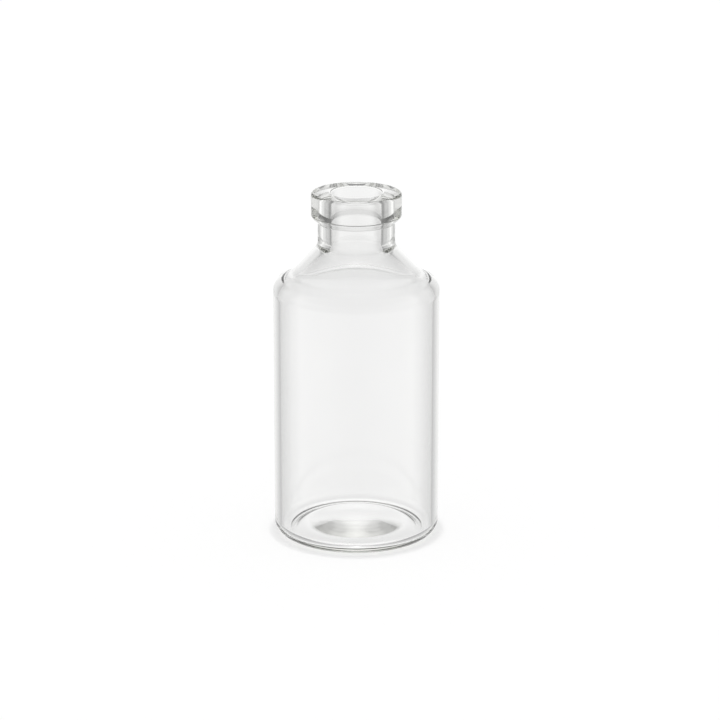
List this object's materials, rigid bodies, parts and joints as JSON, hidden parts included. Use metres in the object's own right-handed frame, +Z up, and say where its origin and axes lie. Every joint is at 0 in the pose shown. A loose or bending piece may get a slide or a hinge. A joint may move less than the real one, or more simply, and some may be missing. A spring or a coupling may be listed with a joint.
{
  "type": "sample vial",
  "caption": "Clear glass vial with a round body, a sloping shoulder, a short neck and a thick flat-topped crimp lip around an open mouth.",
  "frame": {"origin": "centre of the foot, at bench level", "axes": "+Z up the vial's own axis, from the foot to the mouth; X and Y level and alike, because the vial is round"},
  "size_m": [0.024, 0.024, 0.051],
  "materials": {
    "glass": "polished"
  },
  "bodies": {
    "root": {"vial": "glass"}
  },
  "joints": []
}
